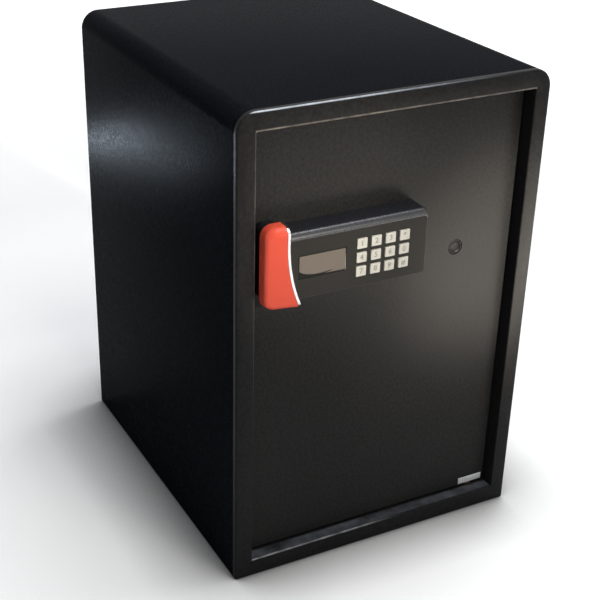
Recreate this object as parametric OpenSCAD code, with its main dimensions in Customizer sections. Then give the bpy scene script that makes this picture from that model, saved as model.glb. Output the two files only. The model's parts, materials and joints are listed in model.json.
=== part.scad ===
// In-room safe: a folded steel cabinet with a recessed door hinged on the right, a keypad
// panel with a pull handle, and bolts driven by a motor behind the door.
// Frame: X to the right seen from the front, Y to the back, Z up, with the origin on the
// underside, in the middle of the four base anchor holes. The door is shut and unlocked.

/* [Cabinet] */
// Outer width
body_w = 350; // [330:1:430]
// Outer depth from the rim's front face to the back
body_d = 410; // [380:1:480]
// Outer height
body_h = 520; // [510:1:640]
// Radius of the two long top edges
corner_r = 20; // [12:1:28]
// Sheet thickness of the sides, top, base and back
wall_t = 3; // [2:0.5:4]
// Sheet thickness of the front frame
frame_t = 3; // [2:0.5:4]

/* [Rim] */
// Width of the rim left of the door
rim_left = 20; // [20:1:26]
// Width of the rim right of the door
rim_right = 18; // [17:1:26]
// Height of the rim above the door
rim_top = 20; // [19:1:30]
// Height of the rim below the door
rim_bottom = 21; // [20:1:30]
// Depth of the returns folded back from the rim
jamb_depth = 52; // [52:1:60]
// Depth of the lip folded back around the outside of the rim
rim_lip = 6; // [5:1:10]

/* [Door] */
// Depth of the door's face behind the rim
door_recess = 15; // [12:0.5:16]
// Gap between the door and the rim
door_gap = 3; // [2.8:0.1:4]
// Thickness of the door's face
door_t = 4; // [3:0.5:4]
// Depth of the door's folded edges behind its face
pan_depth = 36; // [36:0.5:37]
// Thickness of the door's folded edges
pan_t = 2.5; // [2:0.5:3]
// Thickness of the cover behind the door
cover_t = 1.5; // [1:0.25:1.5]
// Distance of the cover's edges inside the door's edges
cover_inset = 1.5; // [0.5:0.5:2]
// Distance of the cover's left screws from the door's left edge
cover_left = 22; // [20:1:26]
// Distance of the cover's right screws from the door's right edge
cover_right = 27; // [24:1:32]
// Distance of the cover's top and bottom screws from the door's ends
cover_end = 26.5; // [24:0.5:30]
// Distance of the cover's middle screws from the door's bottom edge
cover_mid = 160; // [140:1:165]

/* [Hinge] */
// Diameter of the hinge pins
pin_d = 8; // [7:0.5:8]
// Wall of the hinge bushes
bush_wall = 1.5; // [1.5:0.25:1.5]
// Length of the hinge bushes
bush_len = 12; // [8:1:16]
// Distance of the hinge pins from the door's right edge
pin_inset = 18; // [18:0.5:22]
// Size of the square hinge blocks
hinge_block = 22; // [20:1:24]

/* [Bolts] */
// Diameter of the locking bolts
bolt_d = 16; // [12:1:16]
// Distance between the locking bolts
bolt_pitch = 65; // [60:1:70]
// Height of the middle bolt below the top of the cabinet
bolt_drop = 230; // [226:1:232]
// Travel of the locking bolts
bolt_throw = 18; // [14:1:18]
// Thickness of the plate that carries the bolts
carriage_t = 4; // [3:0.5:4]
// Width of the plate that carries the bolts
carriage_w = 41; // [38:1:44]
// Length of each bolt inside the door's edge
bolt_inside = 26; // [24:1:28]
// Clear height of the space between the door's face and the bolts
bolt_setback = 10; // [10:0.5:11]
// Clearance around each bolt where it enters the frame
strike_gap = 1.5; // [1:0.25:2]
// Diameter of the studs that guide the plate
stud_d = 6; // [5:0.5:7]

/* [Pinion] */
// Number of teeth on the pinion
pinion_teeth = 16; // [14:1:20]
// Tooth module of the pinion and rack
gear_module = 1; // [0.8:0.1:1]
// Diameter of the motor's shaft
shaft_d = 3; // [2:0.5:4]
// Distance of the pinion from the bolt plate
pinion_reach = 24; // [22:1:30]
// Height of the rack bar
rack_h = 9; // [7:0.5:12]
// Width of the motor
motor_w = 12; // [10:0.5:14]
// Height of the motor
motor_h = 10; // [8:0.5:12]

/* [Keypad panel] */
// Height of the panel's middle below the top of the cabinet
panel_drop = 155.5; // [150:0.5:157]
// Height of the panel
panel_h = 70; // [68:1:74]
// Height of the panel above the door's face
panel_thick = 28; // [27:0.5:32]
// Wall of the panel housing
panel_wall = 2.5; // [2:0.5:3]
// Radius of the panel's right corners
panel_corner = 4; // [2:0.5:6]
// Diameter of the screws that hold the panel
panel_screw_d = 3.4; // [3:0.2:4]
// Thickness of the circuit board
board_t = 1.6; // [1:0.2:2]
// Thickness of the plate behind the panel
backplate_t = 1.5; // [1:0.25:2]

/* [Keys and display] */
// Width of a key
key_w = 11.3; // [9:0.1:12]
// Height of a key
key_h = 10.7; // [9:0.1:11]
// Sideways distance between keys
key_pitch_x = 16.2; // [15:0.1:16.5]
// Upright distance between keys
key_pitch_z = 14.8; // [14:0.1:15]
// Distance between the display window and the first keys
keys_gap = 10.85; // [8:0.05:14]
// Distance from the middle of the last keys to the panel's right end
keys_margin = 27.4; // [24:0.1:32]
// Distance of the first row of keys above the panel's middle
keys_rise = 11.9; // [10:0.1:13]
// Height of a key above the panel's face
key_rise = 1.6; // [1.4:0.1:2.5]
// Travel of a key
key_travel = 1.2; // [0.5:0.1:1.2]
// Distance between the handle's narrowest part and the display window
window_margin = 15; // [14.5:0.5:20]
// Width of the display window
window_w = 53; // [40:1:60]
// Height of the display window
window_h = 25; // [20:1:28]
// Distance of the window's middle below the panel's middle
window_drop = 1; // [0:0.5:3]
// Width of the ledge that the window sits on
window_ledge = 2; // [1:0.5:3]

/* [Handle] */
// Height of the handle
handle_h = 87; // [84:1:90]
// Distance of the handle's lower end below the panel's middle
handle_below = 42.5; // [41:0.5:44]
// Distance of the handle's left side from the door's left edge
handle_in = 0.7; // [0:0.1:1]
// Width of the handle at its narrowest
handle_w = 20.3; // [20:0.1:22]
// Height of the red shell above its base
shell_h = 19; // [17:0.5:22]
// Height of the handle's black base above the door
base_h = 15; // [14:0.5:15.5]
// Wall of the red shell
shell_wall = 3; // [2:0.5:3]
// Radius of the handle's curved right side
arc_r = 165; // [160:1:200]
// Height of the middle of that curve above the panel's middle
arc_rise = 27.5; // [24:0.5:30]
// Thickness of the bright strip
trim_t = 2.8; // [2:0.2:3]
// Height of the bright strip above the red shell
trim_rise = 0.8; // [0.4:0.1:1.5]
// Radius of the handle's left corners
handle_corner = 12; // [8:0.5:13]
// Distance of the base's edges inside the red shell's
base_inset = 3.5; // [2:0.5:4]
// Diameter of the handle's screws
handle_screw_d = 6; // [5:0.5:6]
// Distance of the handle's screws from its left side
handle_screw_in = 10; // [9.5:0.1:11]
// Distance between the handle's screws
handle_screw_span = 54; // [44:1:56]

/* [Emergency lock] */
// Distance from the panel's right end to the lock
lock_reach = 56.5; // [50:0.5:57]
// Distance of the lock below the panel's middle
lock_below = 29.5; // [26:0.5:32]
// Diameter of the plug over the lock
cap_d = 16.7; // [15:0.1:17]
// Diameter of the lock's barrel
barrel_d = 14; // [12:0.5:14]
// Wall of the lock's body
lock_wall = 3; // [2:0.5:4]
// Length of the lock's body behind the door's face
lock_len = 24; // [20:1:26]
// Length of the cam on the barrel
cam_len = 20; // [16:1:22]
// Width of the cam
cam_w = 8; // [6:0.5:10]
// Thickness of the cam
cam_t = 2.5; // [1.5:0.5:3]

/* [Battery tray] */
// Diameter of a cell
cell_d = 14.4; // [14:0.1:14.5]
// Length of a cell
cell_len = 50.6; // [49:0.1:51]
// Distance between cells
cell_pitch = 15.2; // [15:0.1:16]
// Wall of the tray
tray_wall = 1.5; // [1:0.25:2]
// Distance of the tray's middle from the door's left edge
tray_reach = 187; // [180:1:200]
// Height of the tray's middle above the door's bottom edge
tray_rise = 96; // [60:1:100]
// Thickness of the tray's lid
lid_t = 2; // [1.5:0.25:2.5]

/* [Reset button] */
// Diameter of the button
reset_d = 8; // [6:0.5:10]
// Distance of the button from the door's right edge
reset_in = 54; // [45:1:70]
// Distance of the button below the door's top edge
reset_drop = 67; // [55:1:90]
// Travel of the button
reset_travel = 1.5; // [0.5:0.25:2]

/* [Interior] */
// Height of the shelf's top face
shelf_z = 262; // [240:1:300]
// Thickness of the shelf
shelf_t = 2; // [1.5:0.5:3]
// Height of the shelf's folded front edge
shelf_lip = 18; // [12:1:24]
// Distance of the shelf's front edge behind the rim
shelf_setback = 95; // [90:5:150]
// Width of the rails that carry the shelf
rail_w = 15; // [10:1:20]
// Thickness of the rails
rail_t = 2; // [1.5:0.5:3]
// Thickness of the floor mat
mat_t = 3; // [2:0.5:5]
// Thickness of the mat on the shelf
shelf_mat_t = 1.5; // [1:0.5:3]

/* [Anchors] */
// Sideways distance between the base anchor holes
base_anchor_x = 200; // [160:5:240]
// Front to back distance between the base anchor holes
base_anchor_y = 240; // [200:5:260]
// Sideways distance between the wall anchor holes
wall_anchor_x = 200; // [160:5:240]
// Distance of the wall anchor holes below the top
wall_anchor_drop = 120; // [80:5:160]
// Diameter of every anchor hole
anchor_d = 12; // [8:1:14]

/* [Badge] */
// Width of the bare badge plate
badge_w = 31.5; // [25:0.5:34]
// Height of the bare badge plate
badge_h = 8; // [6:0.5:10]
// Thickness of the bare badge plate
badge_t = 0.5; // [0.3:0.1:1]
// Distance of the badge plate from the door's right edge
badge_right = 2.5; // [2:0.5:10]
// Distance of the badge plate from the door's bottom edge
badge_low = 1; // [1:0.5:10]

/* [Hidden] */
$fn = 64;

// Clearances
slip = 0.05;        // radial, round parts that turn or slide in each other
seat = 0.15;        // round parts that are dropped into a hole
near = 0.3;         // flat faces of moving pieces
screw_room = 0.3;   // radial, screws in the holes they pass through
over = 1;           // how far a cut runs past the face it opens

// Cabinet
half_w = body_w / 2;
front_y = -body_d / 2;
back_y = body_d / 2;
frame_back = front_y + frame_t;
lip_back = front_y + rim_lip;
open_left = -half_w + rim_left;
open_right = half_w - rim_right;
open_bottom = rim_bottom;
open_top = body_h - rim_top;
jamb_back = front_y + jamb_depth + frame_t;

// Door
door_left = open_left + door_gap;
door_right = open_right - door_gap;
door_bottom = open_bottom + door_gap;
door_top = open_top - door_gap;
face_y = front_y + door_recess;
pan_y = face_y + door_t;
cover_y = pan_y + pan_depth;
cover_back = cover_y + cover_t;

// Hinge: the pins stand just behind the door's face
bush_d = pin_d + 2 * slip + 2 * bush_wall;
pin_x = door_right - pin_inset;
pin_y = pan_y + bush_d / 2 + 2 * slip;
washer_d = 2 * pin_d;
hinge_weld = 2;     // steel left above a bush in its block
hinge_side = 11;    // from the pin to the free side of the door's hinge block
hinge_back = 10;    // from the pin to the back of the door's hinge block

// Bolt work
bolt_z = body_h - bolt_drop;
bolt_y = pan_y + bolt_setback + bolt_d / 2;
bolt_tip = door_left + pan_t / 2;
lug_x = door_left + bolt_inside + 1;
lug_w = 12;
carriage_right = lug_x + carriage_w;
carriage_y = bolt_y + bolt_d / 2 - 1;
carriage_back = carriage_y + carriage_t;
carriage_margin = 2;
stud_x = lug_x + lug_w + stud_d / 2 - 2;
stud_head_d = stud_d + 4;
stud_head_t = 2;

// Pinion and rack
pitch_r = gear_module * pinion_teeth / 2;
base_r = pitch_r * cos(20);
tooth_add = 0.8 * gear_module;
tooth_ded = 1.25 * gear_module;
backlash = 0.12;
pinion_x = carriage_right + pinion_reach;
pinion_z = bolt_z + pitch_r;
rack_right = pinion_x + pitch_r + bolt_throw;
clamp_t = 1.5;
clamp_h = 10;
clamp_foot = 8;

// Handle
panel_z = body_h - panel_drop;
handle_left = door_left + handle_in;
handle_z0 = panel_z - handle_below;
handle_z1 = handle_z0 + handle_h;
handle_mid_z = (handle_z0 + handle_z1) / 2;
arc_x = handle_left + handle_w + trim_t / 2 + arc_r;
arc_z = panel_z + arc_rise;
base_front = face_y - base_h;
shell_front = base_front - shell_h;
handle_screw_x = handle_left + handle_screw_in;
handle_reach = 60;  // beyond the handle's widest part

// Display and keys, from the handle to the right
key_names = [
    "key_1", "key_2", "key_3", "key_clear",
    "key_4", "key_5", "key_6", "key_0",
    "key_7", "key_8", "key_9", "key_lock"
];
key_columns = 4;
key_rows = 3;
key_play = 0.3;
key_flange = 0.8;
window_x = handle_left + handle_w + window_margin + window_w / 2;
window_t = 1.5;
first_key_x = window_x + window_w / 2 + keys_gap + key_w / 2;
last_key_x = first_key_x + (key_columns - 1) * key_pitch_x;

// Keypad panel
window_z = panel_z - window_drop;
first_key_z = panel_z + keys_rise;
panel_right = last_key_x + keys_margin;
panel_front = face_y - panel_thick;
panel_inner = panel_front + panel_wall + 0.5;
pad_t = 2;
board_front = panel_inner + 9.4;
board_back = board_front + board_t;
pad_front = board_front - pad_t;
backplate_front = face_y - backplate_t;
boss_d = panel_screw_d + 3.6;
screw_left = window_x - window_w / 2 + 10;
screw_right = panel_right - 11.5;
screw_dz = panel_h / 2 - 9;
board_margin = 6;

// Emergency lock
lock_x = panel_right + lock_reach;
lock_z = panel_z - lock_below;
cap_hole_d = cap_d + 2 * seat;
lock_flange_t = 3;
lock_screw_d = 4;
lock_screw_reach = 1.5 * lock_screw_d;
lock_flange_w = cap_hole_d + 2 * lock_screw_reach + 2.5 * lock_screw_d;
barrel_end = pan_y + lock_len + 2.2;
keyway_w = 1.2;
switch_gap = 0.4;
switch_h = 9;
switch_z = lock_z + cam_w / 2 + switch_gap;

// Cover fixings
standoff_x = [door_left + cover_left, door_right - cover_right];
standoff_z = [door_bottom + cover_end, door_bottom + cover_mid, door_top - cover_end];
standoff_d = 10;
cover_screw_d = 4;
cover_thread = 12;  // length of a cover screw in its standoff

// Batteries
cell_count = 4;
tray_x = door_left + tray_reach;
tray_z = door_bottom + tray_rise;
tray_in_w = cell_count * cell_pitch + 1.2;
tray_in_h = cell_len + 4.4;
tray_depth = cell_d + 7.1;
tray_floor = cover_y - tray_depth;
tray_flange = 5;
tray_flange_t = 1.5;
cell_y = tray_floor + cell_d / 2 + 0.2;
lid_y = cover_back + tray_flange_t + near;
rail_h = 3.4;
lid_lip = 1.2;
grip_len = 28;
grip_t = 4;

// Wires: one hole takes both through the door
wire_d = 2.4;
wire_bend = 5;
cable_hole_d = 12;
cable_x = last_key_x - 2 * key_w;
cable_z = panel_z - cable_hole_d;

// Reset button
reset_x = door_right - reset_in;
reset_z = door_top - reset_drop;
reset_collar = 3;

// Shelf
shelf_front = front_y + shelf_setback;
shelf_gap = 2;
mat_gap = 3;

// ---- shared shapes ----

// Box between two corners, given as ranges along X, Y and Z
module block(x, y, z) {
    translate([x[0], y[0], z[0]])
        cube([x[1] - x[0], y[1] - y[0], z[1] - z[0]]);
}

// Round bar along X, Y or Z between two stations
module bar_x(d, x0, x1, y, z) {
    translate([x0, y, z]) rotate([0, 90, 0]) cylinder(d = d, h = x1 - x0);
}

module bar_y(d, y0, y1, x, z) {
    translate([x, y0, z]) rotate([-90, 0, 0]) cylinder(d = d, h = y1 - y0);
}

module bar_z(d, z0, z1, x, y) {
    translate([x, y, z0]) cylinder(d = d, h = z1 - z0);
}

// Front-view outline (x across, z up) drawn out along Y between two stations
module along_y(y0, y1) {
    translate([0, y1, 0]) rotate([90, 0, 0]) linear_extrude(y1 - y0) children();
}

module rect(x, z) {
    translate([x[0], z[0]]) square([x[1] - x[0], z[1] - z[0]]);
}

// Rectangle with all four corners rounded
module round_rect(x, z, r) {
    rect([x[0] + r, x[1] - r], z);
    rect(x, [z[0] + r, z[1] - r]);
    for (cx = [x[0] + r, x[1] - r], cz = [z[0] + r, z[1] - r])
        translate([cx, cz]) circle(r);
}

// Outline of the cabinet, shrunk by inset, with round top corners
module cabinet_outline(inset, bottom) {
    r = corner_r - inset;
    w = half_w - inset;
    rect([-w, w], [bottom, body_h - corner_r]);
    rect([-w + r, w - r], [bottom, body_h - inset]);
    for (side = [-1, 1])
        translate([side * (w - r), body_h - corner_r]) circle(r);
}

module opening_outline(grow) {
    rect([open_left - grow, open_right + grow], [open_bottom - grow, open_top + grow]);
}

// ---- cabinet ----

module cabinet_wrap() {
    color([0.09, 0.09, 0.1])
        difference() {
            along_y(lip_back, back_y) cabinet_outline(0, 0);
            along_y(lip_back - over, back_y + over) cabinet_outline(wall_t, -over);
        }
}

module anchor_holes(d, z0, z1) {
    for (x = [-1, 1] * base_anchor_x / 2, y = [-1, 1] * base_anchor_y / 2)
        bar_z(d, z0 - over, z1 + over, x, y);
}

module base_plate() {
    color([0.1, 0.1, 0.11])
        difference() {
            block([-half_w + wall_t, half_w - wall_t], [lip_back, back_y - wall_t], [0, wall_t]);
            anchor_holes(anchor_d, 0, wall_t);
        }
}

module back_plate() {
    color([0.1, 0.1, 0.11])
        difference() {
            along_y(back_y - wall_t, back_y) cabinet_outline(wall_t, 0);
            for (x = [-1, 1] * wall_anchor_x / 2)
                bar_y(anchor_d, back_y - wall_t - over, back_y + over,
                    x, body_h - wall_anchor_drop);
        }
}

// Rim sheet with a lip around its outside and returns folded back around the opening
module front_frame() {
    color([0.09, 0.09, 0.1])
        difference() {
            union() {
                along_y(front_y, frame_back) cabinet_outline(0, 0);
                difference() {
                    along_y(front_y + over, lip_back) cabinet_outline(0, 0);
                    along_y(front_y, lip_back + over) cabinet_outline(wall_t, wall_t);
                }
                along_y(front_y + over, jamb_back) opening_outline(frame_t);
            }
            along_y(front_y - over, jamb_back + over) opening_outline(0);
            for (i = [-1 : 1])
                block([open_left - frame_t - over, open_left + over],
                    [-1, 1] * (bolt_d / 2 + strike_gap) + [bolt_y, bolt_y],
                    [-1, 1] * (bolt_d / 2 + strike_gap) + [1, 1] * (bolt_z + i * bolt_pitch));
            for (z = [open_top - over, open_bottom - frame_t - over])
                bar_z(pin_d + 2 * slip, z, z + frame_t + 2 * over, pin_x, pin_y);
        }
}

// Blocks welded above and below the returns, where the hinge pins are pressed in
module hinge_blocks() {
    color([0.12, 0.12, 0.13])
        difference() {
            for (z = [[wall_t, open_bottom - frame_t], [open_top + frame_t, body_h - wall_t]])
                block([pin_x - hinge_block / 2, pin_x + hinge_block / 2],
                    [lip_back, pin_y + hinge_block / 2], z);
            bar_z(pin_d + 2 * slip, 0, body_h, pin_x, pin_y);
        }
}

module hinge_pins() {
    color([0.62, 0.62, 0.64]) {
        bar_z(pin_d, wall_t, door_bottom + bush_len, pin_x, pin_y);
        bar_z(pin_d, door_top - bush_len, body_h - wall_t, pin_x, pin_y);
    }
}

module thrust_washer() {
    color([0.7, 0.55, 0.25])
        difference() {
            bar_z(washer_d, open_bottom, door_bottom - near, pin_x, pin_y);
            bar_z(pin_d + 2 * slip, open_bottom - over, door_bottom + over, pin_x, pin_y);
        }
}

// Angle rails on both side walls that carry the shelf
module shelf_rails() {
    color([0.12, 0.12, 0.13])
        for (side = [-1, 1]) {
            wall = side * (half_w - wall_t);
            leg = wall - side * rail_t;
            edge = wall - side * rail_w;
            z1 = shelf_z - shelf_t;
            rail_y = [shelf_front + 12, back_y - wall_t - 10];
            block([min(wall, leg), max(wall, leg)],
                rail_y, [z1 - rail_w, z1 - rail_t]);
            block([min(wall, edge), max(wall, edge)],
                rail_y, [z1 - rail_t, z1]);
        }
}

module shelf() {
    color([0.14, 0.14, 0.15]) {
        w = half_w - wall_t - shelf_gap;
        block([-w, w], [shelf_front, back_y - wall_t - shelf_gap], [shelf_z - shelf_t, shelf_z]);
        block([-w, w], [shelf_front, shelf_front + shelf_t],
            [shelf_z - shelf_lip, shelf_z - shelf_t]);
    }
}

module shelf_mat() {
    color([0.13, 0.13, 0.15]) {
        w = half_w - wall_t - shelf_gap - mat_gap;
        block([-w, w], [shelf_front + mat_gap, back_y - wall_t - shelf_gap - mat_gap],
            [shelf_z, shelf_z + shelf_mat_t]);
    }
}

module floor_mat() {
    color([0.13, 0.13, 0.15])
        difference() {
            w = half_w - wall_t - shelf_gap;
            block([-w, w], [jamb_back + 2, back_y - wall_t - shelf_gap],
                [wall_t, wall_t + mat_t]);
            anchor_holes(anchor_d + 8, wall_t, wall_t + mat_t);
        }
}

// ---- door ----

// Folded steel pan: the face and four edges turned back
module door_plate() {
    color([0.1, 0.1, 0.1])
        difference() {
            block([door_left, door_right], [face_y, cover_y], [door_bottom, door_top]);
            block([door_left + pan_t, door_right - pan_t], [pan_y, cover_y + over],
                [door_bottom + pan_t, door_top - pan_t]);
            for (i = [-1 : 1])
                bar_x(bolt_d + 4 * seat, door_left - over, door_left + pan_t + over,
                    bolt_y, bolt_z + i * bolt_pitch);
            bar_z(bush_d + 2 * slip, door_bottom - over, door_top + over, pin_x, pin_y);
            bar_y(cap_hole_d, face_y - over, pan_y + over, lock_x, lock_z);
            panel_screw_axes()
                bar_y(panel_screw_d + 2 * screw_room, face_y - over, pan_y + over, 0, 0);
            handle_screw_axes()
                bar_y(handle_screw_d + 2 * screw_room, face_y - over, pan_y + over, 0, 0);
            bar_y(cable_hole_d, face_y - over, pan_y + over, cable_x, cable_z);
        }
}

module door_hinge_blocks() {
    len = bush_len + hinge_weld;
    color([0.12, 0.12, 0.13])
        difference() {
            for (z = [[door_bottom + pan_t, door_bottom + len], [door_top - len, door_top - pan_t]])
                block([pin_x - hinge_side, door_right - pan_t], [pan_y, pin_y + hinge_back], z);
            bar_z(bush_d + 2 * slip, door_bottom - over, door_top + over, pin_x, pin_y);
        }
}

module hinge_bushes() {
    color([0.72, 0.58, 0.28])
        difference() {
            for (z = [door_bottom, door_top - bush_len])
                bar_z(bush_d, z, z + bush_len, pin_x, pin_y);
            bar_z(pin_d + 2 * slip, door_bottom - over, door_top + over, pin_x, pin_y);
        }
}

module standoff_axes() {
    for (x = standoff_x, z = standoff_z)
        translate([x, 0, z]) children();
}

module cover_standoffs() {
    color([0.6, 0.6, 0.6])
        standoff_axes() difference() {
            bar_y(standoff_d, pan_y, cover_y, 0, 0);
            bar_y(cover_screw_d + 2 * slip, cover_y - cover_thread - 2, cover_y + over, 0, 0);
        }
}

module cover_screws() {
    color([0.75, 0.75, 0.75])
        standoff_axes() {
            bar_y(cover_screw_d, cover_y - cover_thread, cover_back, 0, 0);
            bar_y(2 * cover_screw_d, cover_back, cover_back + 0.6 * cover_screw_d, 0, 0);
        }
}

module inner_cover() {
    color([0.16, 0.16, 0.17])
        difference() {
            block([door_left + cover_inset, door_right - cover_inset], [cover_y, cover_back],
                [door_bottom + cover_inset, door_top - cover_inset]);
            standoff_axes()
                bar_y(cover_screw_d + 2 * screw_room, cover_y - over, cover_back + over, 0, 0);
            block(tray_outer_x(seat), [cover_y - over, cover_back + over], tray_outer_z(seat));
            bar_y(reset_d + 2 * near, cover_y - over, cover_back + over, reset_x, reset_z);
        }
}

// ---- batteries ----

function tray_outer_x(grow) = [-1, 1] * (tray_in_w / 2 + tray_wall + grow) + [tray_x, tray_x];
function tray_outer_z(grow) = [-1, 1] * (tray_in_h / 2 + tray_wall + grow) + [tray_z, tray_z];

// Tray sunk into the cover, with a flange and the rails that hold the lid
module battery_tray() {
    lid_x = tray_outer_x(3);
    lid_z = tray_outer_z(1);
    flange_y = cover_back + tray_flange_t;
    rail_back = lid_y + lid_t + 2 * near + lid_lip;
    color([0.08, 0.08, 0.08])
        difference() {
            union() {
                block(tray_outer_x(0), [tray_floor - tray_wall, cover_back], tray_outer_z(0));
                block(tray_outer_x(tray_flange), [cover_back, flange_y],
                    tray_outer_z(tray_flange));
                for (side = [-1, 1]) {
                    edge = tray_z + side * (lid_z[1] - tray_z + near);
                    outer = edge + side * rail_h;
                    lip = edge - side * 2;
                    block(tray_outer_x(tray_flange - 1), [flange_y, rail_back],
                        [min(edge, outer), max(edge, outer)]);
                    block(tray_outer_x(tray_flange - 1), [rail_back - near - lid_lip, rail_back],
                        [min(lip, outer), max(lip, outer)]);
                }
            }
            block([-1, 1] * tray_in_w / 2 + [tray_x, tray_x], [tray_floor, flange_y + over],
                [-1, 1] * tray_in_h / 2 + [tray_z, tray_z]);
        }
}

module battery_contacts() {
    color([0.8, 0.75, 0.55])
        for (i = [0 : cell_count - 1], side = [-1, 1]) {
            x = tray_x + (i - (cell_count - 1) / 2) * cell_pitch;
            z = tray_z + side * (tray_in_h / 2 - 0.4);
            cell_end = tray_z + side * (cell_len / 2 + near);
            block([x - 5, x + 5], [cell_y - 5, cell_y + 5], [z - 0.4, z + 0.4]);
            bar_z(5, min(cell_end, z), max(cell_end, z), x, cell_y);
        }
}

module batteries() {
    color([0.75, 0.6, 0.2])
        for (i = [0 : cell_count - 1])
            bar_z(cell_d, tray_z - cell_len / 2, tray_z + cell_len / 2,
                tray_x + (i - (cell_count - 1) / 2) * cell_pitch, cell_y);
}

module battery_lid() {
    color([0.1, 0.1, 0.1]) {
        x = tray_outer_x(3);
        z = tray_outer_z(1);
        block(x, [lid_y, lid_y + lid_t], z);
        block([x[0] + 5, x[0] + 5 + grip_t], [lid_y + lid_t, lid_y + lid_t + 2],
            [tray_z - grip_len / 2, tray_z + grip_len / 2]);
    }
}

// ---- bolt work ----

// Shouldered studs that carry the bolt plate in its slots
module guide_studs() {
    color([0.65, 0.65, 0.67])
        for (i = [-1, 1]) {
            z = bolt_z + i * bolt_pitch / 2;
            bar_y(stud_head_d, pan_y, carriage_y - near, stud_x, z);
            bar_y(stud_d, carriage_y - near, carriage_back + near, stud_x, z);
            bar_y(stud_head_d, carriage_back + near, carriage_back + near + stud_head_t,
                stud_x, z);
        }
}

// Rack teeth: one tooth stands straight under the pinion when the bolts are in
module rack_outline() {
    p = PI * gear_module;
    half = p / 4 - backlash;
    tip = half - tooth_add * tan(20);
    root = half + tooth_ded * tan(20);
    teeth = floor((rack_right - pinion_x) / p) - 1;
    rect([carriage_right - over, rack_right], [bolt_z - rack_h, bolt_z - tooth_ded]);
    for (i = [-3 : teeth])
        translate([pinion_x + i * p, bolt_z])
            polygon([[-root, -tooth_ded - 0.01], [root, -tooth_ded - 0.01],
                [tip, tooth_add], [-tip, tooth_add]]);
}

module bolt_carriage() {
    plate_z = bolt_pitch + bolt_d / 2 + carriage_margin;
    color([0.7, 0.7, 0.72])
        difference() {
            union() {
                block([lug_x, carriage_right], [carriage_y, carriage_back],
                    [bolt_z - plate_z, bolt_z + plate_z]);
                along_y(carriage_y, carriage_back) rack_outline();
                for (i = [-1 : 1]) {
                    z = bolt_z + i * bolt_pitch;
                    bar_x(bolt_d, bolt_tip, lug_x + over, bolt_y, z);
                    block([lug_x, lug_x + lug_w], [bolt_y - bolt_d / 2, carriage_y],
                        [z - bolt_d / 2, z + bolt_d / 2]);
                }
            }
            for (i = [-1, 1]) {
                z = bolt_z + i * bolt_pitch / 2;
                slot = stud_d / 2 + seat;
                block([stud_x, stud_x + bolt_throw], [carriage_y - over, carriage_back + over],
                    [z - slot, z + slot]);
                for (x = [stud_x, stud_x + bolt_throw])
                    bar_y(2 * slot, carriage_y - over, carriage_back + over, x, z);
            }
        }
}

// Half the angle of a tooth at radius r, from the involute of the base circle
function involute(a) = tan(a) * 180 / PI - a;
function pressure(r) = r <= base_r ? 0 : acos(base_r / r);
function half_tooth(r) = 90 / pinion_teeth - backlash / pitch_r * 180 / PI
    + involute(20) - involute(pressure(r));
function polar(r, a) = [r * cos(a), r * sin(a)];

module pinion_outline() {
    root_r = pitch_r - tooth_ded;
    tip_r = pitch_r + tooth_add;
    radii = [for (k = [0 : 5]) max(base_r, root_r) + (tip_r - max(base_r, root_r)) * k / 5];
    flank = concat([root_r], radii);
    polygon([
        for (t = [0 : pinion_teeth - 1])
            let (mid = -90 + (t + 0.5) * 360 / pinion_teeth)
                each concat(
                    [for (r = flank) polar(r, mid - half_tooth(r))],
                    [for (k = [len(flank) - 1 : -1 : 0])
                        polar(flank[k], mid + half_tooth(flank[k]))])
    ]);
}

module drive_pinion() {
    color([0.85, 0.85, 0.8])
        difference() {
            translate([pinion_x, 0, pinion_z])
                along_y(carriage_y - 0.6, carriage_back + 0.6) pinion_outline();
            bar_y(shaft_d + 2 * slip, carriage_y - 1 - over, carriage_back + 1 + over,
                pinion_x, pinion_z);
        }
}

module lock_motor() {
    motor_back = carriage_y - 2;
    color([0.55, 0.55, 0.56]) {
        block([-1, 1] * motor_w / 2 + [pinion_x, pinion_x], [pan_y, motor_back],
            [-1, 1] * motor_h / 2 + [pinion_z, pinion_z]);
        bar_y(shaft_d, motor_back, carriage_back + 1.5, pinion_x, pinion_z);
    }
}

// Strap over the motor with two feet on the door
module motor_clamp() {
    w = motor_w / 2 + clamp_t + slip;
    h = motor_h / 2 + clamp_t + slip;
    color([0.6, 0.6, 0.6])
        difference() {
            union() {
                block([pinion_x - w, pinion_x + w], [pan_y, pan_y + clamp_h],
                    [pinion_z - h, pinion_z + h]);
                block([pinion_x - w - clamp_foot, pinion_x + w + clamp_foot],
                    [pan_y, pan_y + clamp_t], [pinion_z - h, pinion_z + h]);
            }
            block([-1, 1] * (motor_w / 2 + slip) + [pinion_x, pinion_x],
                [pan_y - over, pan_y + clamp_h + over],
                [-1, 1] * (motor_h / 2 + slip) + [pinion_z, pinion_z]);
        }
}

// ---- keypad panel ----

module panel_screw_axes() {
    for (x = [screw_left, screw_right], z = [-1, 1] * screw_dz)
        translate([x, 0, panel_z + z]) children();
}

// Circle of the handle's curved right side, moved outwards by grow
module arc_disc(grow) {
    translate([arc_x, arc_z]) circle(arc_r + grow, $fn = 180);
}

module panel_outline(inset) {
    intersection() {
        round_rect([door_left, panel_right - inset],
            [panel_z - panel_h / 2 + inset, panel_z + panel_h / 2 - inset],
            panel_corner - min(inset, panel_corner - 1));
        arc_disc(-trim_t / 2 - seat - inset);
    }
}

function key_x(i) = first_key_x + i % key_columns * key_pitch_x;
function key_z(i) = first_key_z - floor(i / key_columns) * key_pitch_z;

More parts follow.
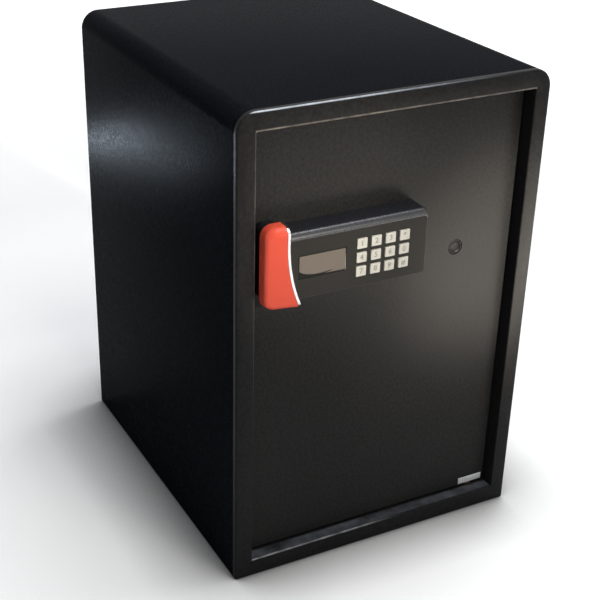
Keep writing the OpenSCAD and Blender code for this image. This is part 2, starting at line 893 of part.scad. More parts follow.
module panel_housing() {
    color([0.16, 0.155, 0.15])
        difference() {
            union() {
                difference() {
                    along_y(panel_front, face_y) panel_outline(0);
                    along_y(panel_inner, face_y + over) panel_outline(panel_wall);
                }
                panel_screw_axes() bar_y(boss_d, panel_inner - 0.5, board_front, 0, 0);
            }
            for (i = [0 : key_columns * key_rows - 1])
                block([-1, 1] * (key_w / 2 + key_play) + [key_x(i), key_x(i)],
                    [panel_front - over, panel_inner + over],
                    [-1, 1] * (key_h / 2 + key_play) + [key_z(i), key_z(i)]);
            block([-1, 1] * (window_w / 2 + seat) + [window_x, window_x],
                [panel_front - over, panel_front + window_t + 0.1],
                [-1, 1] * (window_h / 2 + seat) + [window_z, window_z]);
            block([-1, 1] * (window_w / 2 - window_ledge) + [window_x, window_x],
                [panel_front - over, panel_inner + over],
                [-1, 1] * (window_h / 2 - window_ledge) + [window_z, window_z]);
            panel_screw_axes()
                bar_y(panel_screw_d + 2 * slip, panel_inner + 0.5, board_front + over, 0, 0);
        }
}

module panel_backplate() {
    color([0.6, 0.6, 0.6])
        difference() {
            along_y(backplate_front, face_y) panel_outline(panel_wall + near);
            panel_screw_axes()
                bar_y(panel_screw_d + 2 * screw_room, backplate_front - over, face_y + over,
                    0, 0);
            bar_y(cable_hole_d, backplate_front - over, face_y + over, cable_x, cable_z);
        }
}

module panel_spacers() {
    color([0.8, 0.8, 0.8])
        panel_screw_axes() difference() {
            bar_y(boss_d, board_back, backplate_front, 0, 0);
            bar_y(panel_screw_d + 2 * seat, board_back - over, backplate_front + over, 0, 0);
        }
}

module panel_screws() {
    color([0.75, 0.75, 0.75])
        panel_screw_axes() {
            bar_y(panel_screw_d, panel_inner + 1.5, pan_y, 0, 0);
            bar_y(2 * panel_screw_d, pan_y, pan_y + 0.75 * panel_screw_d, 0, 0);
        }
}

module circuit_board() {
    color([0.1, 0.35, 0.2])
        difference() {
            block([screw_left - board_margin, screw_right + board_margin],
                [board_front, board_back],
                [-1, 1] * (screw_dz + boss_d / 2 + 0.5) + [panel_z, panel_z]);
            panel_screw_axes()
                bar_y(panel_screw_d + 2 * seat, board_front - over, board_back + over, 0, 0);
        }
}

module key_mat() {
    color([0.3, 0.3, 0.32])
        block([first_key_x, last_key_x] + [-1, 1] * (key_w / 2 + 1), [pad_front, board_front],
            [key_z(key_columns * key_rows - 1), first_key_z] + [-1, 1] * (key_h / 2 + 1));
}

// A key: cap, flange behind the panel's face and plunger over the mat
module keypad_key(i) {
    color([0.87, 0.85, 0.8])
        translate([key_x(i), 0, key_z(i)]) {
            cap_back = panel_inner + near;
            block([-1, 1] * key_w / 2, [panel_front - key_rise, cap_back], [-1, 1] * key_h / 2);
            block([-1, 1] * (key_w / 2 + key_flange), [cap_back, cap_back + 1],
                [-1, 1] * (key_h / 2 + key_flange));
            bar_y(6, cap_back + 1, pad_front - key_travel - near, 0, 0);
        }
}

module display_module() {
    color([0.35, 0.4, 0.35])
        block([-1, 1] * (window_w / 2 - 1) + [window_x, window_x],
            [panel_inner + near, board_front],
            [-1, 1] * (window_h / 2 + 1) + [window_z, window_z]);
}

module display_window() {
    color([0.45, 0.42, 0.38])
        block([-1, 1] * window_w / 2 + [window_x, window_x],
            [panel_front + 0.1, panel_front + 0.1 + window_t],
            [-1, 1] * window_h / 2 + [window_z, window_z]);
}

// ---- handle ----

// Front view of the handle: round left corners and a curved right side. The curved side
// has an inset of its own, because the base meets the bright strip along its whole curve.
module handle_outline(inset, arc_inset) {
    left = handle_left + inset;
    low = handle_z0 + inset;
    high = handle_z1 - inset;
    r = handle_corner - inset;
    difference() {
        union() {
            rect([left + r, panel_right], [low, high]);
            rect([left, left + r + over], [low + r, high - r]);
            for (z = [low + r, high - r])
                translate([left + r, z]) circle(r);
        }
        arc_disc(trim_t / 2 + arc_inset);
        rect([handle_left + handle_reach, panel_right + over],
            [handle_z0 - over, handle_z1 + over]);
    }
}

module handle_screw_axes() {
    for (z = [-1, 1] * handle_screw_span / 2)
        translate([handle_screw_x, 0, handle_mid_z + z]) children();
}

module handle_base() {
    color([0.07, 0.07, 0.07])
        difference() {
            along_y(base_front, face_y) handle_outline(base_inset, 0);
            handle_screw_axes()
                bar_y(handle_screw_d + 2 * screw_room, base_front - over, face_y + over, 0, 0);
        }
}

// Red shell, hollow at the back, with two bosses for its screws
module handle_shell() {
    boss = handle_screw_d + 5;
    color([0.85, 0.2, 0.14])
        difference() {
            union() {
                difference() {
                    along_y(shell_front, base_front) handle_outline(0, 0);
                    along_y(shell_front + shell_wall, base_front + over)
                        handle_outline(shell_wall, shell_wall);
                }
                handle_screw_axes() bar_y(boss, shell_front + shell_wall - over, base_front, 0, 0);
            }
            handle_screw_axes()
                bar_y(handle_screw_d + 2 * slip, base_front - 11, base_front + over, 0, 0);
        }
}

module handle_trim() {
    color([0.9, 0.9, 0.92])
        along_y(shell_front - trim_rise, face_y) intersection() {
            difference() {
                arc_disc(trim_t / 2 - slip);
                arc_disc(-trim_t / 2 + slip);
            }
            rect([handle_left, handle_left + handle_reach], [handle_z0 + 0.5, handle_z1 - 0.5]);
        }
}

module handle_screws() {
    color([0.7, 0.7, 0.7])
        handle_screw_axes() {
            bar_y(handle_screw_d, base_front - 10, pan_y, 0, 0);
            bar_y(handle_screw_d + 4, pan_y, pan_y + 0.65 * handle_screw_d, 0, 0);
        }
}

// ---- emergency lock ----

module lock_cap() {
    color([0.13, 0.13, 0.13])
        difference() {
            bar_y(cap_d, face_y + 0.3, pan_y - near, lock_x, lock_z);
            bar_y(cap_d - 4, face_y, face_y + 1.1, lock_x, lock_z);
        }
}

module lock_screw_axes() {
    for (x = [-1, 1] * (cap_hole_d / 2 + lock_screw_reach))
        translate([lock_x + x, 0, lock_z]) children();
}

module lock_body() {
    color([0.65, 0.65, 0.67])
        difference() {
            union() {
                bar_y(barrel_d + 2 * lock_wall, pan_y, pan_y + lock_len, lock_x, lock_z);
                block([-1, 1] * lock_flange_w / 2 + [lock_x, lock_x],
                    [pan_y, pan_y + lock_flange_t],
                    [-1, 1] * (barrel_d / 2 + lock_wall) + [lock_z, lock_z]);
            }
            bar_y(barrel_d + 2 * slip, pan_y - over, pan_y + lock_len + over, lock_x, lock_z);
            lock_screw_axes()
                bar_y(lock_screw_d + 2 * slip, pan_y - over, pan_y + lock_flange_t + over, 0, 0);
        }
}

module lock_screws() {
    head = pan_y + lock_flange_t;
    color([0.7, 0.7, 0.7])
        lock_screw_axes() {
            bar_y(lock_screw_d, pan_y + slip, head, 0, 0);
            bar_y(1.75 * lock_screw_d, head, head + lock_screw_d / 2, 0, 0);
        }
}

module lock_barrel() {
    color([0.72, 0.6, 0.3])
        difference() {
            union() {
                bar_y(barrel_d, pan_y + 0.2, barrel_end, lock_x, lock_z);
                bar_y(cam_w, barrel_end, barrel_end + cam_t, lock_x, lock_z);
                block([lock_x - cam_w / 2, lock_x + cam_w / 2], [barrel_end, barrel_end + cam_t],
                    [lock_z - cam_len, lock_z]);
            }
            block([-1, 1] * keyway_w / 2 + [lock_x, lock_x], [pan_y, pan_y + lock_len / 2],
                [-1, 1] * barrel_d / 4 + [lock_z, lock_z]);
        }
}

// Switch that the lock's cam meets at the end of its turn
module override_switch() {
    color([0.1, 0.1, 0.12])
        block([lock_x - cam_len - 11, lock_x - 13], [barrel_end - 4, cover_y - near],
            [switch_z, switch_z + switch_h]);
}

module switch_post() {
    color([0.6, 0.6, 0.6])
        block([lock_x - cam_len - 11, lock_x - lock_flange_w / 2 - near],
            [pan_y, barrel_end - 4], [switch_z + 1, switch_z + switch_h - 1]);
}

// ---- reset button, wires and badge ----

module reset_button() {
    collar_y = cover_y - near;
    color([0.75, 0.1, 0.08]) {
        bar_y(reset_d, collar_y, cover_back + 2, reset_x, reset_z);
        bar_y(reset_d + reset_collar, collar_y - 1.2, collar_y, reset_x, reset_z);
        bar_y(reset_d / 2, collar_y - 5.7, collar_y - 1.2, reset_x, reset_z);
    }
}

// Round switch that stands behind the button and guides its collar
module reset_switch() {
    cup = reset_d + reset_collar + 4 * near;
    color([0.1, 0.1, 0.12])
        difference() {
            bar_y(cup + 3.8, pan_y, cover_y, reset_x, reset_z);
            bar_y(cup, cover_y - near - 6 - reset_travel, cover_y + over, reset_x, reset_z);
        }
}

// Wire through a list of points: rings across the route, joined into one tube
function unit(v) = v / norm(v);

module wire(points) {
    n = len(points);
    sides = 8;
    tangents = [for (i = [0 : n - 1])
        unit(points[min(i + 1, n - 1)] - points[max(i - 1, 0)])];
    rings = [for (i = [0 : n - 1], k = [0 : sides - 1])
        let (s = unit(cross(tangents[i], [1, 0, 0])), u = cross(tangents[i], s),
            a = k * 360 / sides)
            points[i] + wire_d / 2 * (s * cos(a) + u * sin(a))];
    polyhedron(rings, concat(
        [[for (k = [sides - 1 : -1 : 0]) k]],
        [for (i = [0 : n - 2], k = [0 : sides - 1])
            let (a = i * sides, b = (k + 1) % sides)
                [a + k, a + b, a + sides + b, a + sides + k]],
        [[for (k = [0 : sides - 1]) (n - 1) * sides + k]]));
}

// Route from a piece behind the door up to the cable hole, round a bend and through the
// hole to the board
function wire_route(start, hole_x) =
    let (bend_y = pan_y + 3 - wire_bend, bend_z = cable_z - wire_bend)
        concat(
            [for (k = [0 : 20])
                let (t = k / 20, s = t * t * (3 - 2 * t))
                    [start[0] + (hole_x - start[0]) * s,
                        start[1] + (pan_y + 3 - start[1]) * s,
                        start[2] + (bend_z - start[2]) * t]],
            [for (a = [15 : 15 : 90])
                [hole_x, bend_y + wire_bend * cos(a), bend_z + wire_bend * sin(a)]],
            [[hole_x, board_back + near, cable_z]]);

module wire_loom() {
    color([0.7, 0.1, 0.1]) {
        wire(wire_route([tray_x, tray_floor + 4, tray_outer_z(near)[1]],
            cable_x + wire_d));
        wire(wire_route([pinion_x + 2, pan_y + clamp_h + 3, pinion_z + motor_h / 2 + near],
            cable_x - wire_d));
    }
}

module badge_plate() {
    right = door_right - badge_right;
    low = door_bottom + badge_low;
    color([0.7, 0.72, 0.73])
        block([right - badge_w, right], [face_y - badge_t, face_y], [low, low + badge_h]);
}

// ---- what is drawn ----

cabinet_wrap();
base_plate();
back_plate();
front_frame();
hinge_blocks();
hinge_pins();
thrust_washer();
shelf_rails();
shelf();
shelf_mat();
floor_mat();
door_plate();
door_hinge_blocks();
hinge_bushes();
cover_standoffs();
inner_cover();
cover_screws();
battery_tray();
battery_contacts();
batteries();
battery_lid();
guide_studs();
bolt_carriage();
drive_pinion();
lock_motor();
motor_clamp();
panel_backplate();
panel_housing();
panel_spacers();
panel_screws();
circuit_board();
key_mat();
display_module();
display_window();
handle_base();
handle_shell();
handle_trim();
handle_screws();
lock_cap();
lock_body();
lock_barrel();
lock_screws();
override_switch();
switch_post();
reset_button();
reset_switch();
wire_loom();
badge_plate();
for (i = [0 : len(key_names) - 1])
    keypad_key(i);
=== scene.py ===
"""Looks of the in-room safe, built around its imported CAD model."""
import json
import math

import bmesh
import bpy
from mathutils import Matrix, Vector


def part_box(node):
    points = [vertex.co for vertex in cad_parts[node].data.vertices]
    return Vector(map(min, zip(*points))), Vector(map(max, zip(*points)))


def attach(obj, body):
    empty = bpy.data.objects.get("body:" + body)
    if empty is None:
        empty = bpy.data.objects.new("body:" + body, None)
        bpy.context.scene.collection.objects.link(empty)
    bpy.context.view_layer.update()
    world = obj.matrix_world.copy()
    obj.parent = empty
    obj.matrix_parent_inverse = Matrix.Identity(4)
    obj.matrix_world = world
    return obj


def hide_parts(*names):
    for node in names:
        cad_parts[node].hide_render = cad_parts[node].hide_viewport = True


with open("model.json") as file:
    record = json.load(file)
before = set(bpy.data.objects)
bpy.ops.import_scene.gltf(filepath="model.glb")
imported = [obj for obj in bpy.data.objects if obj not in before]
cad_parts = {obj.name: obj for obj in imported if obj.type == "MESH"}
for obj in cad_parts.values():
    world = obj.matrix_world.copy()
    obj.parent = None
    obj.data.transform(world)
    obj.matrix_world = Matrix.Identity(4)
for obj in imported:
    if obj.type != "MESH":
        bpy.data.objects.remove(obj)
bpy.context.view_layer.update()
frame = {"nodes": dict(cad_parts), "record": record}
nodes = frame["nodes"]
MM = 0.001


# ---------------------------------------------------------------- mesh helpers

def arc(count, start, end):
    """Angles in radians, count steps from start to end in degrees."""
    return [math.radians(start + (end - start) * i / count) for i in range(count + 1)]


def make(name, verts, faces, sharp=35.0):
    """Mesh object from vertices and faces in metres, smooth except along sharp edges."""
    mesh = bpy.data.meshes.new(name)
    mesh.from_pydata([tuple(v) for v in verts], [], faces)
    bm = bmesh.new()
    bm.from_mesh(mesh)
    bmesh.ops.remove_doubles(bm, verts=bm.verts, dist=1e-7)
    bmesh.ops.recalc_face_normals(bm, faces=bm.faces)
    bm.to_mesh(mesh)
    bm.free()
    finish_mesh(mesh, sharp)
    obj = bpy.data.objects.new(name, mesh)
    bpy.context.scene.collection.objects.link(obj)
    return obj


def finish_mesh(mesh, sharp=35.0):
    """Smooth shading, except along edges sharper than an angle in degrees."""
    for poly in mesh.polygons:
        poly.use_smooth = True
    mesh.set_sharp_from_angle(angle=math.radians(sharp))


def loft(loops, ring=False):
    """Vertices and faces between loops of equal length, closed by end faces or into a ring."""
    n = len(loops[0])
    verts = [v for loop in loops for v in loop]
    faces = []
    for i in range(len(loops) if ring else len(loops) - 1):
        j = (i + 1) % len(loops)
        for k in range(n):
            m = (k + 1) % n
            faces.append((i * n + k, i * n + m, j * n + m, j * n + k))
    if not ring:
        faces.append(tuple(range(n - 1, -1, -1)))
        faces.append(tuple(range((len(loops) - 1) * n, len(loops) * n)))
    return verts, faces


def rounded(x, z, radii, steps=8):
    """Closed outline of a rectangle; radii of its corners from bottom left, anticlockwise."""
    corners = (
        (x[0], z[0], 180, 1, 1), (x[1], z[0], 270, -1, 1),
        (x[1], z[1], 0, -1, -1), (x[0], z[1], 90, 1, -1),
    )
    points = []
    for (cx, cz, start, sx, sz), r in zip(corners, radii):
        for a in arc(steps, start, start + 90):
            points.append((cx + sx * r + r * math.cos(a), cz + sz * r + r * math.sin(a)))
    return points


def at_y(points, y):
    """Points of a front view, moved to a depth."""
    return [Vector((px, y, pz)) for px, pz in points]


def cut_away(target, cutter):
    """Cuts a shape out of a piece, and removes the cutter."""
    mod = target.modifiers.new("cut", "BOOLEAN")
    mod.solver = "EXACT"
    mod.operation = "DIFFERENCE"
    mod.object = cutter
    bpy.context.view_layer.update()
    shape = target.evaluated_get(bpy.context.evaluated_depsgraph_get())
    mesh = bpy.data.meshes.new_from_object(shape)
    target.modifiers.clear()
    old = target.data
    target.data = mesh
    bpy.data.meshes.remove(old)
    mesh.name = target.name
    bpy.data.objects.remove(cutter)
    finish_mesh(mesh)


def boxes(name, spans):
    """One mesh of separate boxes, each given by its x, y and z ranges."""
    verts, faces = [], []
    for xs, ys, zs in spans:
        base = len(verts)
        verts += [Vector((a, b, c)) for a in xs for b in ys for c in zs]
        faces += [tuple(base + k for k in f) for f in (
            (0, 1, 3, 2), (4, 6, 7, 5), (0, 4, 5, 1), (2, 3, 7, 6), (0, 2, 6, 4), (1, 5, 7, 3))]
    return make(name, verts, faces)


def rod(name, x, y, ends, radius):
    """A round bar along Z."""
    circle = [(x + radius * math.cos(a), y + radius * math.sin(a)) for a in arc(48, 0, 360)[:-1]]
    return make(name, *loft([[Vector((u, v, z)) for u, v in circle] for z in ends]))


# ---------------------------------------------------------------- places from the CAD model

CAB_LO, CAB_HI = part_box("front_frame")
WRAP_LO, WRAP_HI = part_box("cabinet_wrap")
DOOR_LO, DOOR_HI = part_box("door_plate")
PANEL_LO, PANEL_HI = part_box("panel_housing")
SHELL_LO, SHELL_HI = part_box("handle_shell")
TRIM_LO, TRIM_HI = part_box("handle_trim")
BOLTS_LO, BOLTS_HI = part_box("bolt_carriage")
PIN_LO, PIN_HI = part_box("hinge_pins")
WINDOW_LO, WINDOW_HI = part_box("display_window")

# cabinet: sheet thickness, gap round the door, round edges, and the bolts' middles
SHEET = 3 * MM
DOOR_GAP = 3 * MM
TOP_R = 20 * MM
FOOT_R = 2.5 * MM
BOLT_R = 8 * MM
BOLT_PITCH = 65 * MM
BOLT_Y = BOLTS_LO.y + BOLT_R
BOLT_Z = (BOLTS_LO.z + BOLTS_HI.z) / 2
OPEN_LEFT, OPEN_RIGHT = DOOR_LO.x - DOOR_GAP, DOOR_HI.x + DOOR_GAP
OPEN_LOW, OPEN_HIGH = DOOR_LO.z - DOOR_GAP, DOOR_HI.z + DOOR_GAP

# handle: a bright strip along a circle, between the red shell and the panel
ARC_R = 165 * MM
TRIM_HALF = 1.35 * MM
TRIM_SEAT = 1.4 * MM
ARC_X = TRIM_LO.x + ARC_R + TRIM_HALF
ARC_Z = TRIM_HI.z - 16.5 * MM

# keys: the middle of each one, and the size of a cap
KEY_XY = {}
for key_name in frame["record"]["behaviour"]["bodies"]:
    if key_name.startswith("key_") and key_name.endswith("_body"):
        key_node = key_name[:-len("_body")]
        key_lo, key_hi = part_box(key_node)
        KEY_XY[key_node] = ((key_lo.x + key_hi.x) / 2, (key_lo.z + key_hi.z) / 2)
KEY_W, KEY_H = 11.3 * MM, 10.7 * MM


def arc_side(radius, z):
    """Left side of the circle about the handle's curve, at a height."""
    return ARC_X - math.sqrt(radius ** 2 - (z - ARC_Z) ** 2)


# ---------------------------------------------------------------- cabinet

def rim_outer(inset):
    """Front view of the rim's outside, with large rounds above and small ones below."""
    bottom = max(FOOT_R - inset, 0.2 * MM)
    top = TOP_R - inset
    return rounded((CAB_LO.x + inset, CAB_HI.x - inset), (CAB_LO.z + inset, CAB_HI.z - inset),
                   (bottom, bottom, top, top), 14)


def rim_inner(grow):
    """Front view of the opening."""
    r = 1.5 * MM + grow
    return rounded((OPEN_LEFT - grow, OPEN_RIGHT + grow), (OPEN_LOW - grow, OPEN_HIGH + grow),
                   (r, r, r, r), 14)


def build_rim():
    """Front frame: a pressed rim with rolled edges and returns around the opening."""
    front, back, lip = CAB_LO.y, CAB_HI.y, WRAP_LO.y
    out_r, in_r = 2.2 * MM, 1.4 * MM
    loops = [at_y(rim_outer(0), lip)]
    for a in arc(7, 0, 90):
        loops.append(at_y(rim_outer(out_r * (1 - math.cos(a))),
                          front + out_r * (1 - math.sin(a))))
    for a in arc(6, 0, 90):
        loops.append(at_y(rim_inner(in_r * (1 - math.sin(a))),
                          front + in_r * (1 - math.cos(a))))
    loops.append(at_y(rim_inner(0), back))
    loops.append(at_y(rim_inner(SHEET), back))
    loops.append(at_y(rim_inner(SHEET), front + SHEET))
    loops.append(at_y(rim_outer(SHEET), front + SHEET))
    loops.append(at_y(rim_outer(SHEET), lip))
    rim = make("rim_frame", *loft(loops, ring=True))
    hole, pin_r = BOLT_R + 1.5 * MM, 4.05 * MM
    side = (OPEN_LEFT - SHEET - MM, OPEN_LEFT + MM)
    holes = []
    for i in (-1, 0, 1):
        z = BOLT_Z + i * BOLT_PITCH
        holes.append((side, (BOLT_Y - hole, BOLT_Y + hole), (z - hole, z + hole)))
    cut_away(rim, boxes("bolt_holes", holes))
    pin_x, pin_y = (PIN_LO.x + PIN_HI.x) / 2, (PIN_LO.y + PIN_HI.y) / 2
    for z in (OPEN_LOW - SHEET - MM, OPEN_HIGH - MM):
        cut_away(rim, rod("pin_hole", pin_x, pin_y, (z, z + SHEET + 2 * MM), pin_r))
    return rim


def build_wrap():
    """Sides and top: one folded sheet with round top edges, open below."""
    lo, hi = WRAP_LO, WRAP_HI
    edge = 1.2 * MM
    pairs = []
    for a in arc(5, 270, 180):
        z = lo.z + FOOT_R + FOOT_R * math.sin(a)
        pairs.append(((lo.x + FOOT_R + FOOT_R * math.cos(a), z), (lo.x + SHEET, z)))
    for a in arc(18, 180, 90):
        c = (lo.x + TOP_R, hi.z - TOP_R)
        n = (math.cos(a), math.sin(a))
        pairs.append(((c[0] + TOP_R * n[0], c[1] + TOP_R * n[1]),
                      (c[0] + (TOP_R - SHEET) * n[0], c[1] + (TOP_R - SHEET) * n[1])))
    pairs += [((-o[0], o[1]), (-i[0], i[1])) for o, i in reversed(pairs)]
    rings = []
    for o, i in pairs:
        ring = [Vector((o[0], lo.y, o[1]))]
        away = Vector((i[0] - o[0], i[1] - o[1])).normalized()
        for a in arc(3, 0, 90):
            d = edge * (1 - math.cos(a))
            ring.append(Vector((o[0] + away.x * d, hi.y - edge + edge * math.sin(a),
                                o[1] + away.y * d)))
        ring.append(Vector((i[0], hi.y, i[1])))
        ring.append(Vector((i[0], lo.y, i[1])))
        rings.append(ring)
    return make("cabinet_sheet", *loft(rings))


# ---------------------------------------------------------------- keypad panel and display

def panel_outline(inset, top, r, disc, steps, arc_steps):
    """Front view of the panel: round right corners, and a left side that follows the handle.

    inset is from its right and lower sides and top from above. r is the radius of the corners,
    and disc that of the circle at the left.
    """
    x1 = PANEL_HI.x - inset
    z0, z1 = PANEL_LO.z + inset, PANEL_HI.z - top
    points = [(x1 - r + r * math.cos(a), z0 + r + r * math.sin(a)) for a in arc(steps, 270, 360)]
    points += [(x1 - r + r * math.cos(a), z1 - r + r * math.sin(a)) for a in arc(steps, 0, 90)]
    for i in range(arc_steps + 1):
        z = z1 + (z0 - z1) * i / arc_steps
        points.append((arc_side(disc, z), z))
    return points


def housing_outline(inset, top):
    """Front view of the housing, whose corners get tighter further in."""
    r = max(4.5 * MM - inset, 0.8 * MM)
    return panel_outline(inset, top, r, ARC_R - TRIM_SEAT - 0.15 * MM, 8, 28)


def key_spans(play, ys):
    """Openings for the keys, with some play round each."""
    w, h = KEY_W / 2 + play, KEY_H / 2 + play
    return [((x - w, x + w), ys, (z - h, z + h)) for x, z in KEY_XY.values()]


def build_overlay():
    """Satin face sheet laid on the housing, cut out around the keys and the display."""
    rim, top, corner, play = 1.2 * MM, 7.5 * MM, 3.2 * MM, 0.5 * MM
    y0, y1 = PANEL_LO.y - 0.25 * MM, PANEL_LO.y + 0.1 * MM
    outline = panel_outline(rim, top, corner, ARC_R - 2.6 * MM, 4, 24)
    sheet = make("keypad_face", *loft([at_y(outline, y0), at_y(outline, y1)]))
    through = (y0 - MM, y1 + MM)
    cuts = key_spans(play, through)
    cuts.append(((WINDOW_LO.x, WINDOW_HI.x), through, (WINDOW_LO.z, WINDOW_HI.z)))
    cut_away(sheet, boxes("holes", cuts))
    return sheet


def build_panel():
    """Keypad housing: a hollow moulding with a rolled top and small rounds below and right."""
    front, back = PANEL_LO.y, PANEL_HI.y
    small, roll, roll_depth = 1.0 * MM, 7.3 * MM, 7 * MM
    wall, front_wall, key_play, pane_play, ledge = 2.5 * MM, 3 * MM, 0.3 * MM, 0.15 * MM, 2 * MM
    loops = [at_y(housing_outline(0, 0), back)]
    for a in arc(12, 0, 90):
        gone = 1 - math.cos(a)
        loops.append(at_y(housing_outline(small * gone, roll * gone),
                          front + roll_depth * (1 - math.sin(a))))
    panel = make("keypad_housing", *loft(loops))
    inner = front + front_wall
    hollow = housing_outline(wall, wall)
    cut_away(panel, make("cavity", *loft([at_y(hollow, y) for y in (inner, back + MM)])))
    cut_away(panel, boxes("holes", key_spans(key_play, (front - MM, inner + MM))))
    lo, hi = WINDOW_LO, WINDOW_HI
    for grow, y in ((pane_play, hi.y), (-ledge, inner + MM)):
        cut_away(panel, boxes("holes", [
            ((lo.x - grow, hi.x + grow), (front - MM, y), (lo.z - grow, hi.z + grow))]))
    return panel


def build_key(node):
    """Key with a slightly dished cap, its flange and its stem."""
    lo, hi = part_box(node)
    x, z = KEY_XY[node]
    cap_back = lo.y + 4.9 * MM
    w, h = KEY_W / 2, KEY_H / 2
    corner, dish_corner, edge = 0.7 * MM, 1.0 * MM, 0.45 * MM
    stem, flange, flange_corner = 3 * MM, 0.8 * MM, 0.6 * MM

    def outline(grow, radius):
        return rounded((x - w - grow, x + w + grow), (z - h - grow, z + h + grow),
                       (radius,) * 4, 6)

    loops = [at_y(outline(-3.2 * MM, dish_corner), lo.y + 0.12 * MM),
             at_y(outline(-1.6 * MM, dish_corner), lo.y + 0.04 * MM)]
    for a in arc(5, 90, 0):
        loops.append(at_y(outline(-edge * (1 - math.cos(a)), corner),
                          lo.y + edge * (1 - math.sin(a))))
    loops.append(at_y(outline(0, corner), cap_back))
    loops.append(at_y(outline(flange, flange_corner), cap_back))
    loops.append(at_y(outline(flange, flange_corner), cap_back + MM))
    circle = rounded((x - stem, x + stem), (z - stem, z + stem), (stem,) * 4, 6)
    loops.append(at_y(circle, cap_back + MM))
    loops.append(at_y(circle, hi.y))
    return make("cap_" + node, *loft(loops))


LEGENDS = {"key_clear": "*", "key_lock": "#"}


def build_legend(node):
    """Printed sign of a key, a hair proud of its cap."""
    lo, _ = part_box(node)
    x, z = KEY_XY[node]
    curve = bpy.data.curves.new("legend", "FONT")
    curve.body = LEGENDS.get(node, node[-1])
    curve.size = 8.0 * MM
    curve.offset = 0.12 * MM
    curve.extrude = 0.06 * MM
    curve.align_x = "CENTER"
    curve.align_y = "CENTER"
    text = bpy.data.objects.new("legend", curve)
    bpy.context.scene.collection.objects.link(text)
    bpy.context.view_layer.update()
    mesh = bpy.data.meshes.new_from_object(
        text.evaluated_get(bpy.context.evaluated_depsgraph_get()))
    bpy.data.objects.remove(text)
    upright = Matrix.Rotation(math.pi / 2, 4, "X")
    mesh.transform(Matrix.Translation((x, lo.y + 0.1 * MM, z)) @ upright)
    legend = bpy.data.objects.new("legend_" + node, mesh)
    bpy.context.scene.collection.objects.link(legend)
    return legend


def build_window():
    """Display window: a thin pane with softened edges."""
    lo, hi = WINDOW_LO, WINDOW_HI
    edge, corner = 0.35 * MM, 0.8 * MM

    def outline(i):
        return rounded((lo.x + i, hi.x - i), (lo.z + i, hi.z - i), (corner,) * 4, 5)

    loops = []
    for a in arc(4, 90, 0):
        loops.append(at_y(outline(edge * (1 - math.cos(a))), lo.y + edge * (1 - math.sin(a))))
    loops.append(at_y(outline(0), hi.y))
    return make("display_pane", *loft(loops))


def build_film():
    """Protective film on the pane, torn along a curve at its lower left."""
    lo, hi = WINDOW_LO, WINDOW_HI
    margin, corner = 1.4 * MM, 0.6 * MM
    x0, x1, z0, z1 = lo.x + margin, hi.x - margin, lo.z + margin, hi.z - margin
    # points of the torn edge, in millimetres from the lower left corner
    torn = [(0, 6.6), (4, 4.3), (9, 2.6), (15, 1.6), (21, 1.3), (27, 1.5), (33, 2.1), (38, 2.9),
            (34, 1.2), (28, 0.2)]
    points = [(x0 + x * MM, z0 + z * MM) for x, z in torn]
    points += [(x1 - MM, z0 + 0.2 * MM), (x1, z0 + MM), (x1, z1 - corner), (x1 - corner, z1),
               (x0 + corner, z1), (x0, z1 - corner)]
    ys = (lo.y - 0.08 * MM, lo.y + 0.05 * MM)
    return make("display_film", *loft([at_y(points, y) for y in ys]))


# ---------------------------------------------------------------- handle

def handle_outline(end, left, curve, depth):
    """Loop of the handle: insets of its ends, left side and curved side, and its depth.

    depth(share, roll) gives y, where share runs from the left side, 0, to the curve, 1, and
    roll from the ends, 0, to the left side, 1.
    """
    x0 = SHELL_LO.x + left
    z0, z1 = SHELL_LO.z + end, SHELL_HI.z - end
    r = max(12.0 * MM - (end + left) / 2, 4 * MM)
    disc = ARC_R + TRIM_SEAT + curve
    arc_steps = 30

    def point(x, z, roll):
        right = arc_side(disc, z)
        share = (x - SHELL_LO.x) / (right - SHELL_LO.x)
        return Vector((x, depth(share, roll), z))

    points = [point(arc_side(disc, z0), z0, 0)]
    for start, cz in ((270, z0 + r), (180, z1 - r)):
        for a in arc(10, start, start - 90):
            points.append(point(x0 + r + r * math.cos(a), cz + r * math.sin(a),
                                math.cos(a) ** 2))
    for i in range(arc_steps):
        z = z1 + (z0 - z1) * i / arc_steps
        points.append(point(arc_side(disc, z), z, 0))
    return points


def build_shell():
    """Red handle shell: rolled ends, a front that slopes back to the left, hollow behind."""
    front, back = SHELL_LO.y, SHELL_HI.y
    end_r, left_r, slope = 9 * MM, 3.5 * MM, 7.5 * MM

    def sloped(share):
        return front + slope * (1 - share) ** 1.3

    def rolled(s):
        return lambda share, roll: sloped(share) + s * (end_r + (left_r - end_r) * roll)

    def level(y):
        return lambda share, roll: y

    loops = []
    for a in arc(9, 90, 0):
        k, s = 1 - math.cos(a), 1 - math.sin(a)
        loops.append(handle_outline(end_r * k, 0.8 * MM + left_r * k, 0, rolled(s)))
    loops.append(handle_outline(0, 0, 0, level(back - 0.6 * MM)))
    loops.append(handle_outline(0.5 * MM, 0.5 * MM, 0.1 * MM, level(back)))
    loops.append(handle_outline(3 * MM, 3 * MM, 3 * MM, level(back)))
    loops.append(handle_outline(3.5 * MM, 4 * MM, 3 * MM, level(back - 5 * MM)))
    loops.append(handle_outline(7 * MM, 8 * MM, 3 * MM,
                                lambda share, roll: sloped(share) + 3 * MM))
    return make("handle_cover", *loft(loops))


